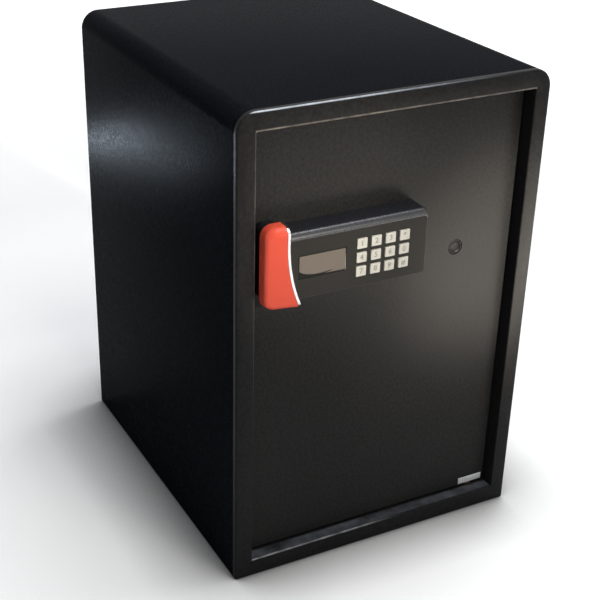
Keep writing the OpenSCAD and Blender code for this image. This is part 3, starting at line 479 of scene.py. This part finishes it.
def build_trim():
    """Bright strip along the handle's curve, rolled over at both ends."""
    lo, hi = TRIM_LO, TRIM_HI
    roll_z, roll_y = 8.5 * MM, 9.8 * MM
    heights = [(lo.z + roll_z - roll_z * math.cos(a), lo.y + roll_y - roll_y * math.sin(a))
               for a in arc(10, 0, 90)]
    steps = 40
    z0, z1 = lo.z + roll_z, hi.z - roll_z
    heights += [(z0 + (z1 - z0) * i / steps, lo.y) for i in range(1, steps)]
    heights += [(hi.z - roll_z + roll_z * math.sin(a), lo.y + roll_y - roll_y * math.cos(a))
                for a in arc(10, 0, 90)]
    soft = 0.35 * MM
    loops = []
    for z, y in heights:
        rear = hi.y if lo.z + 8 * MM < z < hi.z - 12 * MM else SHELL_HI.y
        section = ((-TRIM_HALF, rear), (-TRIM_HALF, y + soft), (-TRIM_HALF + soft, y),
                   (TRIM_HALF - soft, y), (TRIM_HALF, y + soft), (TRIM_HALF, rear))
        loops.append([Vector((arc_side(ARC_R + w, z), d, z)) for w, d in section])
    return make("handle_strip", *loft(loops))


# ---------------------------------------------------------------- emergency lock plug

def build_plug():
    """Plug over the emergency lock: a round cap with a raised ring and a shallow dish."""
    lo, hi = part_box("lock_cap")
    cx, cz = (lo.x + hi.x) / 2, (lo.z + hi.z) / 2
    r = (hi.x - lo.x) / 2
    front = lo.y
    # radius and depth behind the front, in millimetres: the dish, the ring and its outer round
    shape = [(0.01, 1.05), (2.4, 1.0), (4.4, 0.9), (5.6, 0.62), (6.3, 0.2), (6.8, 0.03),
             (7.4, 0), (7.9, 0.12), (8.2, 0.4)]
    profile = [(rad * MM, front + deep * MM) for rad, deep in shape]
    profile += [(r, front + 0.8 * MM), (r, hi.y)]
    turn = arc(64, 0, 360)[:-1]
    loops = [[Vector((cx + rad * math.cos(a), y, cz + rad * math.sin(a))) for a in turn]
             for rad, y in profile]
    return make("lock_plug", *loft(loops), sharp=50)


# ---------------------------------------------------------------- materials

def shader(name, rough, metallic, ior, level):
    """A new material, with its nodes, its links and its Principled node."""
    mat = bpy.data.materials.new(name)
    mat.use_nodes = True
    bsdf = mat.node_tree.nodes["Principled BSDF"]
    bsdf.inputs["Roughness"].default_value = rough
    bsdf.inputs["Metallic"].default_value = metallic
    bsdf.inputs["IOR"].default_value = ior
    bsdf.inputs["Specular IOR Level"].default_value = level
    return mat, mat.node_tree.nodes, mat.node_tree.links, bsdf


def noise(mat, scale, detail=2.0, stretch=None):
    """Noise over the object's own coordinates, in metres."""
    tree = mat.node_tree
    coords = tree.nodes.get("coords") or tree.nodes.new("ShaderNodeTexCoord")
    coords.name = "coords"
    tex = tree.nodes.new("ShaderNodeTexNoise")
    tex.inputs["Scale"].default_value = scale
    tex.inputs["Detail"].default_value = detail
    source = coords.outputs["Object"]
    if stretch:
        mapping = tree.nodes.new("ShaderNodeMapping")
        mapping.inputs["Scale"].default_value = stretch
        tree.links.new(source, mapping.inputs["Vector"])
        source = mapping.outputs["Vector"]
    tree.links.new(source, tex.inputs["Vector"])
    return tex.outputs["Fac"]


def ramp(mat, value, low, high, start=0.3, end=0.7):
    """Colour between low and high as a value goes from start to end."""
    node = mat.node_tree.nodes.new("ShaderNodeValToRGB")
    node.color_ramp.elements[0].position = start
    node.color_ramp.elements[0].color = (*low, 1)
    node.color_ramp.elements[1].position = end
    node.color_ramp.elements[1].color = (*high, 1)
    mat.node_tree.links.new(value, node.inputs["Fac"])
    return node.outputs["Color"]


def spread(mat, value, low, high):
    """Number between low and high as a noise goes through its middle range."""
    node = mat.node_tree.nodes.new("ShaderNodeMapRange")
    node.inputs["From Min"].default_value = 0.3
    node.inputs["From Max"].default_value = 0.7
    node.inputs["To Min"].default_value = low
    node.inputs["To Max"].default_value = high
    mat.node_tree.links.new(value, node.inputs["Value"])
    return node.outputs["Result"]


def bumps(mat, bsdf, layers):
    """Bump from layers, each a value and a height in metres, one on top of the other."""
    last = None
    for value, height in layers:
        node = mat.node_tree.nodes.new("ShaderNodeBump")
        node.inputs["Strength"].default_value = 1.0
        node.inputs["Distance"].default_value = height
        mat.node_tree.links.new(value, node.inputs["Height"])
        if last is not None:
            mat.node_tree.links.new(last, node.inputs["Normal"])
        last = node.outputs["Normal"]
    mat.node_tree.links.new(last, bsdf.inputs["Normal"])


def finish(name, colour, rough, vary=0.15, broad=9.0, grain=700.0, height=0.03, metallic=0.0,
           ior=1.45, level=0.5, stretch=None, tint=None, detail=2.0, sheen=0.0):
    """General finish: a colour that drifts a little, a grain in the roughness and the bump.

    vary is the share by which the colour drifts at the scale broad. grain is the scale of the
    fine noise, and height its depth in millimetres. tint is the colour at the light end.
    """
    mat, tree, links, bsdf = shader(name, rough, metallic, ior, level)
    low = tuple(c * (1 - vary) for c in colour)
    high = tuple(min(1, c * (1 + vary)) for c in (tint or colour))
    links.new(ramp(mat, noise(mat, broad, 3.0), low, high), bsdf.inputs["Base Color"])
    fine = noise(mat, grain, detail, stretch)
    links.new(spread(mat, fine, max(rough - 0.07, 0.02), min(rough + 0.07, 1)),
              bsdf.inputs["Roughness"])
    bumps(mat, bsdf, [(fine, height * MM)])
    bsdf.inputs["Sheen Weight"].default_value = sheen
    return mat


def powder_coat(name, colour, rough, level):
    """Textured powder coat: an orange peel of small grains over a fainter, wider ripple."""
    mat, tree, links, bsdf = shader(name, rough, 0.0, 1.45, level)
    fine = noise(mat, 640.0, 2.0)
    peel = noise(mat, 300.0, 2.0)
    ripple = noise(mat, 60.0, 1.0)
    drift = noise(mat, 5.0, 2.0)
    speckle = 0.2
    dark = tuple(c * (1 - speckle) for c in colour)
    light = tuple(c * (1 + speckle) for c in colour)
    mix = tree.new("ShaderNodeMix")
    mix.data_type = "RGBA"
    mix.blend_type = "MULTIPLY"
    mix.inputs["Factor"].default_value = 1.0
    links.new(ramp(mat, peel, dark, light, 0.35, 0.65), mix.inputs["A"])
    links.new(ramp(mat, drift, (0.8, 0.8, 0.8), (1, 1, 1)), mix.inputs["B"])
    links.new(mix.outputs["Result"], bsdf.inputs["Base Color"])
    links.new(spread(mat, peel, rough - 0.05, rough + 0.07), bsdf.inputs["Roughness"])
    bumps(mat, bsdf, [(ripple, 0.05 * MM), (peel, 0.11 * MM), (fine, 0.06 * MM)])
    return mat


def painted_highlights(mat, strokes):
    """Paints highlights over the base colour: each stroke is a colour, a grain, its least cover
    and its bands.
    """
    tree, links = mat.node_tree.nodes, mat.node_tree.links
    bsdf = tree["Principled BSDF"]
    split = tree.new("ShaderNodeSeparateXYZ")
    links.new(tree["coords"].outputs["Object"], split.inputs["Vector"])
    for colour, grain, least, bands in strokes:
        cover = spread(mat, noise(mat, grain, 3.0), least, 1.0)
        for axis, gone, full in bands:
            band = tree.new("ShaderNodeMapRange")
            band.interpolation_type = "SMOOTHSTEP"
            band.inputs["From Min"].default_value = gone
            band.inputs["From Max"].default_value = full
            links.new(split.outputs[axis], band.inputs["Value"])
            both = tree.new("ShaderNodeMath")
            both.operation = "MULTIPLY"
            links.new(cover, both.inputs[0])
            links.new(band.outputs["Result"], both.inputs[1])
            cover = both.outputs[0]
        mix = tree.new("ShaderNodeMix")
        mix.data_type = "RGBA"
        links.new(cover, mix.inputs["Factor"])
        links.new(bsdf.inputs["Base Color"].links[0].from_socket, mix.inputs["A"])
        mix.inputs["B"].default_value = (*colour, 1)
        links.new(mix.outputs["Result"], bsdf.inputs["Base Color"])


def rim_highlight_strokes():
    """Painted highlights on the rim, broken up by a grain: its top edge, the edges of the opening
    and the ledge under the door.

    A band is an axis, where the painted highlight has faded out, and where it is full.
    """
    front, top = CAB_LO.y, CAB_HI.z
    left, right, ledge, header = OPEN_LEFT, OPEN_RIGHT, OPEN_LOW, OPEN_HIGH
    nose = ("Y", front + 1.9 * MM, front + 0.7 * MM)
    in_opening = ("X", left - 1.5 * MM, left)
    on_ledge = ("Z", ledge + 0.4 * MM, ledge + 0.1 * MM)
    top_edge = [
        ("Y", front + 1.7 * MM, front + 0.8 * MM),
        ("Z", top - 1.9 * MM, top - 0.9 * MM),
        ("X", CAB_HI.x - 25 * MM, CAB_LO.x + 60 * MM)]
    header_edge = [
        nose, in_opening,
        ("X", right + 1.5 * MM, right),
        ("Z", header - 0.3 * MM, header + 0.1 * MM),
        ("Z", header + 2.6 * MM, header + 1.2 * MM)]
    left_edge = [
        nose,
        ("X", left + 0.3 * MM, left - 0.1 * MM),
        ("X", left - 1.9 * MM, left - 0.9 * MM),
        ("Z", header - 300 * MM, header - 100 * MM),
        ("Z", header + 1.5 * MM, header)]
    ledge_edge = [
        nose, in_opening, on_ledge,
        ("Z", ledge - 1.9 * MM, ledge - 0.9 * MM),
        ("X", left + 190 * MM, left + 110 * MM)]
    ledge_top = [
        on_ledge,
        ("Z", ledge - 1.0 * MM, ledge - 0.3 * MM),
        ("Y", front + 1.2 * MM, front + 2.5 * MM),
        ("Y", DOOR_LO.y, DOOR_LO.y - 3 * MM)]
    # colours of the painted highlights: bluish white on the top edge, warm on the header's and
    # left side's inner edges, grey on the ledge's edge, and a painted lit strip on the ledge's top
    return [
        ((0.42, 0.46, 0.52), 90.0, 0.55, top_edge),
        ((0.19, 0.165, 0.145), 70.0, 0.35, header_edge),
        ((0.060, 0.050, 0.046), 60.0, 0.2, left_edge),
        ((0.26, 0.26, 0.27), 80.0, 0.25, ledge_edge),
        ((0.075, 0.080, 0.092), 45.0, 0.1, ledge_top),
    ]


# cabinet_paint, door_paint and rim_paint are one black powder coat in three copies: the cabinet's
# darker, bluer colour is painted shade and cool sky light on the sides and top, the door's
# lighter, warmer colour is painted warm light on its front, and the rim's tone sits between
MATS = {
    "cabinet_paint": powder_coat("cabinet_paint", (0.0064, 0.0070, 0.0088), 0.25, 0.0008),
    "door_paint": powder_coat("door_paint", (0.0168, 0.0162, 0.0158), 0.38, 0.05),
    "inner_paint": powder_coat("inner_paint", (0.06, 0.06, 0.064), 0.5, 0.3),
    "rim_paint": powder_coat("rim_paint", (0.0128, 0.0124, 0.0126), 0.33, 0.055),
    "steel": finish("steel", (0.55, 0.55, 0.56), 0.32, 0.06, 30, 900, 0.01, 1.0,
                    stretch=(1, 14, 1)),
    "zinc": finish("zinc", (0.62, 0.61, 0.57), 0.38, 0.12, 60, 500, 0.01, 1.0,
                   tint=(0.66, 0.63, 0.52)),
    "bronze": finish("bronze", (0.55, 0.36, 0.16), 0.4, 0.12, 80, 600, 0.01, 1.0),
    "carpet": finish("carpet", (0.045, 0.045, 0.05), 0.95, 0.35, 120, 900, 0.5, sheen=0.4,
                     detail=6.0, level=0.1),
    "black_plastic": finish("black_plastic", (0.012, 0.012, 0.013), 0.42, 0.1, 12, 900, 0.015,
                            level=0.35),
    "red_plastic": finish("red_plastic", (0.60, 0.074, 0.042), 0.34, 0.06, 14, 600, 0.012,
                          ior=1.46, level=0.2),
    "chrome": finish("chrome", (0.74, 0.73, 0.73), 0.16, 0.03, 40, 700, 0.004, 1.0),
    "key_plastic": finish("key_plastic", (0.45, 0.435, 0.39), 0.45, 0.04, 90, 1400, 0.01,
                          level=0.12),
    "window": finish("window", (0.009, 0.009, 0.007), 0.15, 0.1, 30, 500, 0.002, level=0.15),
    "board": finish("board", (0.01, 0.11, 0.05), 0.4, 0.25, 260, 1200, 0.02),
    "rubber": finish("rubber", (0.30, 0.30, 0.31), 0.8, 0.08, 60, 1000, 0.03, level=0.2),
    "cell": finish("cell", (0.05, 0.07, 0.10), 0.3, 0.1, 20, 700, 0.003, level=0.5),
    "red_button": finish("red_button", (0.6, 0.03, 0.02), 0.35, 0.05, 30, 900, 0.005),
    "wire_red": finish("wire_red", (0.55, 0.03, 0.02), 0.4, 0.08, 200, 1500, 0.005),
    "badge": finish("badge", (0.62, 0.64, 0.64), 0.38, 0.05, 60, 1500, 0.004, 0.6,
                    stretch=(14, 1, 1)),
    "panel": finish("panel", (0.0125, 0.0132, 0.0170), 0.30, 0.08, 12, 1100, 0.01, level=0.6),
    "face": finish("face", (0.0235, 0.0222, 0.0205), 0.5, 0.06, 12, 1500, 0.01, level=0.03),
    "film": finish("film", (0.130, 0.108, 0.090), 0.4, 0.05, 60, 300, 0.002, level=0.06),
    "legend": finish("legend", (0.20, 0.195, 0.18), 0.6, 0.05, 200, 1500, 0.003, level=0.2),
    "plug": finish("plug", (0.007, 0.007, 0.007), 0.35, 0.1, 60, 900, 0.004, level=0.05),
}
# painted highlights along the rim's edges, and a painted lit strip on the ledge under the door
painted_highlights(MATS["rim_paint"], rim_highlight_strokes())


# ---------------------------------------------------------------- carried-over CAD nodes

slot_of = {part["node"]: part["material_slot"] for part in frame["record"]["subparts"]}

# widths of softened edges in millimetres, where they aren't EDGE_USUAL
EDGE_USUAL = 0.3
EDGE = {"door_plate": 1.0, "inner_cover": 0.5, "bolt_carriage": 0.8, "shelf": 0.8,
        "hinge_blocks": 1.0, "door_hinge_blocks": 0.8, "handle_base": 1.0, "base_plate": 0.8,
        "back_plate": 1.0, "lock_body": 0.6, "lock_motor": 0.8}


def dress(name, obj):
    """Material, smooth shading and softened edges for a CAD node that stays in view."""
    slot = slot_of[name]
    obj.data.materials.clear()
    obj.data.materials.append(MATS[slot])
    if "custom_normal" in obj.data.attributes:
        obj.data.attributes.remove(obj.data.attributes["custom_normal"])
    for poly in obj.data.polygons:
        poly.use_smooth = True
        poly.material_index = 0
    weld = obj.modifiers.new("weld", "WELD")
    weld.merge_threshold = 1e-6
    flat = obj.modifiers.new("flat", "DECIMATE")
    flat.decimate_type = "DISSOLVE"
    flat.angle_limit = math.radians(0.5)
    bevel = obj.modifiers.new("edges", "BEVEL")
    bevel.width = EDGE.get(name, EDGE_USUAL) * MM
    bevel.segments = 2
    bevel.limit_method = "ANGLE"
    bevel.angle_limit = math.radians(38)
    bevel.use_clamp_overlap = True
    bevel.harden_normals = True
    bevel.miter_outer = "MITER_ARC"


def put(obj, body, mat, replaces=()):
    """A new piece: its material, its body and the CAD nodes that it stands for."""
    obj.data.materials.clear()
    obj.data.materials.append(MATS[mat])
    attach(obj, body)
    if replaces:
        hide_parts(*replaces)


put(build_rim(), "cabinet", "rim_paint", ["front_frame"])
put(build_wrap(), "cabinet", "cabinet_paint", ["cabinet_wrap"])
put(build_panel(), "door", "panel", ["panel_housing"])
put(build_overlay(), "door", "face")
put(build_window(), "door", "window", ["display_window"])
put(build_film(), "door", "film")
put(build_shell(), "door", "red_plastic", ["handle_shell"])
put(build_trim(), "door", "chrome", ["handle_trim"])
put(build_plug(), "plug", "plug", ["lock_cap"])
for key_node in KEY_XY:
    put(build_key(key_node), key_node + "_body", "key_plastic", [key_node])
    put(build_legend(key_node), key_node + "_body", "legend")

replaced = {"front_frame", "cabinet_wrap", "panel_housing", "display_window", "handle_shell",
            "handle_trim", "lock_cap", *KEY_XY}
for node_name, node_obj in nodes.items():
    if node_name not in replaced:
        dress(node_name, node_obj)


# ---------------------------------------------------------------- stage, lights and camera

FLOOR_HALF = 9.0
FLOOR_WHITE = 0.86
FLOOR_GLOW = 0.12        # added near the object
FLOOR_GLOW_FAR = 0.9     # added from GLOW_TO metres away
GLOW_FROM, GLOW_TO = 0.9, 2.6
# painted contact shadow on the floor along the base, made by an occlusion node
CONTACT_REACH = 0.10     # how far the soft shadow along the base reaches
CONTACT_DARK = 0.15      # share of light left in its darkest part
CONTACT_OPEN = 0.45      # share of open sky in that part
CARD_Z = 0.02
SKY_FILL = 0.12


def hang(lamp, place, target, power, colour):
    """Puts a lamp in its place, aimed at its target and out of the camera's sight."""
    lamp.data.energy = power
    lamp.data.color = colour
    lamp.location = place
    lamp.rotation_euler = (Vector(target) - Vector(place)).to_track_quat("-Z", "Y").to_euler()
    lamp.visible_camera = False
    bpy.context.scene.collection.objects.link(lamp)


def area(name, place, target, size, power, colour):
    """A rectangular lamp."""
    data = bpy.data.lights.new(name, "AREA")
    data.shape = "RECTANGLE"
    data.size, data.size_y = size
    lamp = bpy.data.objects.new(name, data)
    hang(lamp, place, target, power, colour)
    return lamp


def card(name, place, size, turn, power, colour):
    """A patch of bright floor that shows only in reflections; turn is in degrees."""
    lamp = area(name, (*place, CARD_Z), (*place, 1), size, power, colour)
    lamp.rotation_euler = (math.pi, 0, math.radians(turn))
    lamp.visible_diffuse = False


def spot(name, place, target, angle, power, colour):
    """A soft-edged beam, like light that falls through a gap; angle is in degrees."""
    data = bpy.data.lights.new(name, "SPOT")
    data.spot_size = math.radians(angle)
    data.spot_blend = 1.0
    data.shadow_soft_size = 0.03
    hang(bpy.data.objects.new(name, data), place, target, power, colour)


def combined(tree, links, operation, first, second):
    """One value from two, by a Math node; the second may be a number."""
    node = tree.new("ShaderNodeMath")
    node.operation = operation
    links.new(first, node.inputs[0])
    if isinstance(second, float):
        node.inputs[1].default_value = second
    else:
        links.new(second, node.inputs[1])
    return node.outputs[0]


def mapped(tree, links, value, source, result):
    """A value carried over from one range to another."""
    node = tree.new("ShaderNodeMapRange")
    node.inputs["From Min"].default_value, node.inputs["From Max"].default_value = source
    node.inputs["To Min"].default_value, node.inputs["To Max"].default_value = result
    links.new(value, node.inputs["Value"])
    return node.outputs["Result"]


def seen_directly(tree, links):
    """1 for a camera, glossy or transmission ray, and 0 for light that falls on the object."""
    path = tree.new("ShaderNodeLightPath")
    last = path.outputs["Is Camera Ray"]
    for ray in ("Is Glossy Ray", "Is Transmission Ray"):
        last = combined(tree, links, "MAXIMUM", last, path.outputs[ray])
    return last


def build_floor():
    """White floor that keeps the object's shadow, with a painted contact shadow along the base,
    and fades into the white world far away.
    """
    half = FLOOR_HALF
    floor = make("floor", [(-half, -half, 0), (half, -half, 0), (half, half, 0), (-half, half, 0)],
                 [(0, 1, 2, 3)])
    mat, tree, links, bsdf = shader("floor", 1.0, 0.0, 1.5, 0.0)
    # painted contact shadow: an occlusion node darkens the floor's colour and its glow near the
    # base
    open_sky = tree.new("ShaderNodeAmbientOcclusion")
    open_sky.inputs["Distance"].default_value = CONTACT_REACH
    painted_contact_shade = mapped(tree, links, open_sky.outputs["AO"], (CONTACT_OPEN, 1.0), (CONTACT_DARK, 1.0))
    grey = combined(tree, links, "MULTIPLY", painted_contact_shade, FLOOR_WHITE)
    colour = tree.new("ShaderNodeCombineColor")
    for channel in ("Red", "Green", "Blue"):
        links.new(grey, colour.inputs[channel])
    links.new(colour.outputs["Color"], bsdf.inputs["Base Color"])
    place = tree.new("ShaderNodeNewGeometry")
    away = tree.new("ShaderNodeVectorMath")
    away.operation = "LENGTH"
    links.new(place.outputs["Position"], away.inputs[0])
    fade = mapped(tree, links, away.outputs["Value"], (GLOW_FROM, GLOW_TO),
                  (FLOOR_GLOW, FLOOR_GLOW_FAR))
    level = combined(tree, links, "MULTIPLY", seen_directly(tree, links), fade)
    glow = tree.new("ShaderNodeEmission")
    glow.inputs["Color"].default_value = (1, 1, 1, 1)
    links.new(combined(tree, links, "MULTIPLY", level, painted_contact_shade), glow.inputs["Strength"])
    add = tree.new("ShaderNodeAddShader")
    links.new(bsdf.outputs[0], add.inputs[0])
    links.new(glow.outputs[0], add.inputs[1])
    links.new(add.outputs[0], tree["Material Output"].inputs["Surface"])
    floor.data.materials.append(mat)


def build_world():
    """White where it is seen or mirrored, and a faint cool fill otherwise."""
    world = bpy.data.worlds.new("world")
    world.use_nodes = True
    tree, links = world.node_tree.nodes, world.node_tree.links
    fill = tree["Background"]
    fill.inputs["Color"].default_value = (0.80, 0.90, 1.0, 1)
    fill.inputs["Strength"].default_value = SKY_FILL
    white = tree.new("ShaderNodeBackground")
    white.inputs["Color"].default_value = (1, 1, 1, 1)
    white.inputs["Strength"].default_value = 1.0
    sky = tree.new("ShaderNodeMixShader")
    links.new(seen_directly(tree, links), sky.inputs[0])
    links.new(fill.outputs[0], sky.inputs[1])
    links.new(white.outputs[0], sky.inputs[2])
    links.new(sky.outputs[0], tree["World Output"].inputs["Surface"])
    bpy.context.scene.world = world


build_floor()
build_world()

area("key", (0.60, -2.60, 0.95), (0, -0.19, 0.30), (0.4, 0.4), 14, (1.0, 0.97, 0.92))
area("front_top", (0.1, -1.2, 2.5), (0, -0.19, 0.35), (0.9, 0.9), 27, (1.0, 0.98, 0.96))
area("top", (0.85, 0.05, 2.9), (0, 0, 0), (1.4, 1.4), 58, (0.98, 0.99, 1.0))
area("top_left", (-0.7, 0.6, 2.6), (0, 0, 0), (1.2, 1.2), 13, (0.96, 0.98, 1.0))
spot("patch_low", (0.55, -2.10, 0.72), (0.14, -0.19, 0.32), 8.2, 500, (1.0, 0.94, 0.83))
spot("patch_high", (0.30, -2.10, 0.85), (-0.09, -0.19, 0.42), 9, 135, (1.0, 0.93, 0.80))
card("sunlit_floor", (0.56, -0.66), (0.60, 0.26), 0, 14, (1.0, 0.92, 0.80))
card("sky_floor", (-0.445, 1.08), (0.44, 0.12), 42.6, 10, (0.74, 0.86, 1.0))

# camera fitted to the object's outline in its picture: above and left of the front
LENS = 74.66
SHIFT = (0.073, 0.0018)
CAMERA_PLACE = (-0.635, -1.1526, 0.8684)
CAMERA_TURN = (63.167, -0.576, -26.636)
camera_data = bpy.data.cameras.new("camera")
camera_data.sensor_width = 36
camera_data.lens = LENS
camera_data.shift_x, camera_data.shift_y = SHIFT
camera = bpy.data.objects.new("camera", camera_data)
camera.location = CAMERA_PLACE
camera.rotation_euler = tuple(math.radians(a) for a in CAMERA_TURN)
bpy.context.scene.collection.objects.link(camera)
bpy.context.scene.camera = camera
bpy.context.scene.view_settings.view_transform = "Standard"
